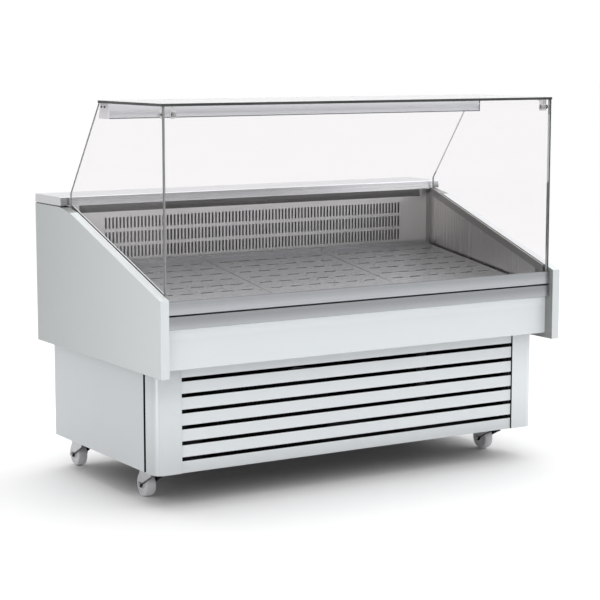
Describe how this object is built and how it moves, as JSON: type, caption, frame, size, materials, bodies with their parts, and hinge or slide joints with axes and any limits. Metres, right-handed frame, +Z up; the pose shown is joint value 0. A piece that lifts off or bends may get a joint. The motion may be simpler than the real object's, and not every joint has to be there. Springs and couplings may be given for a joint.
{
  "type": "fish display case",
  "caption": "Refrigerated fish counter on swivel casters: sloped white sides, tilted lift-out deck, slotted air grille, rear worktop and a clear glass canopy with a lamp.",
  "frame": {"origin": "on the floor under the middle of the counter", "axes": "+X along the front to the customer's right, +Y from the customer to the server, +Z up"},
  "size_m": [1.5, 0.895, 1.226],
  "materials": {
    "white_paint": "satin white powder coat",
    "insulated_panel": "foamed panel with painted skins",
    "stainless_steel": "brushed stainless",
    "clear_glass": "clear float glass with polished edges",
    "lamp_aluminium": "satin anodised",
    "lamp_lens": "opal lens",
    "cap_plastic": "light grey moulding",
    "dark_plastic": "dark grey moulding",
    "rocker_plastic": "glossy black",
    "bright_metal": "polished stainless",
    "zinc_steel": "zinc plated pressing",
    "grey_tread": "non-marking grey rubber",
    "coil_aluminium": "bare fins",
    "black_metal": "black enamel",
    "galvanised": "galvanised sheet",
    "drain_plastic": "grey moulding"
  },
  "bodies": {
    "cabinet": {"side_panel_left": "white_paint", "side_panel_right": "white_paint", "front_panel": "white_paint", "base_side_left": "white_paint", "base_side_right": "white_paint", "corner_post_left": "white_paint", "corner_post_right": "white_paint", "base_back": "white_paint", "louvre_slats": "white_paint", "tank_floor": "insulated_panel", "tank_front": "insulated_panel", "tank_back": "insulated_panel", "side_liner_left": "stainless_steel", "side_liner_right": "stainless_steel", "front_band": "stainless_steel", "front_rail": "stainless_steel", "worktop": "stainless_steel", "air_grille": "stainless_steel", "deck_ledge_front": "stainless_steel", "deck_ledge_rear": "stainless_steel", "fan_plate": "stainless_steel", "side_glass_left": "clear_glass", "side_glass_right": "clear_glass", "front_glass": "clear_glass", "top_glass": "clear_glass", "lamp_housing": "lamp_aluminium", "glass_seat_left": "lamp_aluminium", "glass_seat_right": "lamp_aluminium", "lamp_diffuser": "lamp_lens", "lamp_caps": "cap_plastic", "worktop_trim": "dark_plastic", "control_panel": "dark_plastic", "glass_clips": "bright_metal", "glass_bolts": "bright_metal", "caster_plates": "zinc_steel", "condenser_coil": "coil_aluminium", "evaporator_coil": "coil_aluminium", "condenser_shroud": "black_metal", "condenser_motor": "black_metal", "compressor": "black_metal", "fan_motors": "black_metal", "base_floor": "galvanised", "drip_tray": "drain_plastic", "drain_spigot": "drain_plastic"},
    "switch": {"rocker_main": "rocker_plastic"},
    "condenser_fan": {"condenser_fan": "coil_aluminium"},
    "tray_left": {"deck_tray_left": "stainless_steel"},
    "tray_middle": {"deck_tray_middle": "stainless_steel"},
    "tray_right": {"deck_tray_right": "stainless_steel"},
    "evaporator_fan_left": {"evaporator_fan_left": "coil_aluminium"},
    "evaporator_fan_right": {"evaporator_fan_right": "coil_aluminium"},
    "fork_front_left": {"caster_fork_front_left": "zinc_steel"},
    "wheel_front_left": {"caster_wheel_front_left": "grey_tread"},
    "fork_front_right": {"caster_fork_front_right": "zinc_steel"},
    "wheel_front_right": {"caster_wheel_front_right": "grey_tread"},
    "fork_rear_left": {"caster_fork_rear_left": "zinc_steel"},
    "wheel_rear_left": {"caster_wheel_rear_left": "grey_tread"},
    "fork_rear_right": {"caster_fork_rear_right": "zinc_steel"},
    "wheel_rear_right": {"caster_wheel_rear_right": "grey_tread"}
  },
  "joints": [
    {"name": "swivel_front_left", "type": "hinge", "parent": "cabinet", "child": "fork_front_left", "pos_m": [-0.657, -0.1895, 0.1065], "axis": [0, 0, 1], "continuous": true},
    {"name": "roll_front_left", "type": "hinge", "parent": "fork_front_left", "child": "wheel_front_left", "pos_m": [-0.65595, -0.15952, 0.04], "axis": [0.9994, -0.0349, 0], "continuous": true},
    {"name": "swivel_front_right", "type": "hinge", "parent": "cabinet", "child": "fork_front_right", "pos_m": [0.657, -0.1895, 0.1065], "axis": [0, 0, 1], "continuous": true},
    {"name": "roll_front_right", "type": "hinge", "parent": "fork_front_right", "child": "wheel_front_right", "pos_m": [0.65805, -0.15952, 0.04], "axis": [0.9994, -0.0349, 0], "continuous": true},
    {"name": "swivel_rear_left", "type": "hinge", "parent": "cabinet", "child": "fork_rear_left", "pos_m": [-0.657, 0.3125, 0.1065], "axis": [0, 0, 1], "continuous": true},
    {"name": "roll_rear_left", "type": "hinge", "parent": "fork_rear_left", "child": "wheel_rear_left", "pos_m": [-0.65595, 0.34248, 0.04], "axis": [0.9994, -0.0349, 0], "continuous": true},
    {"name": "swivel_rear_right", "type": "hinge", "parent": "cabinet", "child": "fork_rear_right", "pos_m": [0.657, 0.3125, 0.1065], "axis": [0, 0, 1], "continuous": true},
    {"name": "roll_rear_right", "type": "hinge", "parent": "fork_rear_right", "child": "wheel_rear_right", "pos_m": [0.65805, 0.34248, 0.04], "axis": [0.9994, -0.0349, 0], "continuous": true},
    {"name": "lift_tray_left", "type": "slide", "parent": "cabinet", "child": "tray_left", "axis": [0, 0, 1], "range_m": [0, 0.15]},
    {"name": "lift_tray_middle", "type": "slide", "parent": "cabinet", "child": "tray_middle", "axis": [0, 0, 1], "range_m": [0, 0.15]},
    {"name": "lift_tray_right", "type": "slide", "parent": "cabinet", "child": "tray_right", "axis": [0, 0, 1], "range_m": [0, 0.15]},
    {"name": "spin_evaporator_fan_left", "type": "hinge", "parent": "cabinet", "child": "evaporator_fan_left", "pos_m": [-0.26, 0.1145, 0.5645], "axis": [0, 1, 0], "continuous": true},
    {"name": "spin_evaporator_fan_right", "type": "hinge", "parent": "cabinet", "child": "evaporator_fan_right", "pos_m": [0.26, 0.1145, 0.5645], "axis": [0, 1, 0], "continuous": true},
    {"name": "spin_condenser_fan", "type": "hinge", "parent": "cabinet", "child": "condenser_fan", "pos_m": [-0.3, -0.2195, 0.2345], "axis": [0, 1, 0], "continuous": true},
    {"name": "press_switch", "type": "hinge", "parent": "cabinet", "child": "switch", "pos_m": [0.43, 0.4385, 0.814], "axis": [1, 0, 0], "range_deg": [0, 16]}
  ]
}
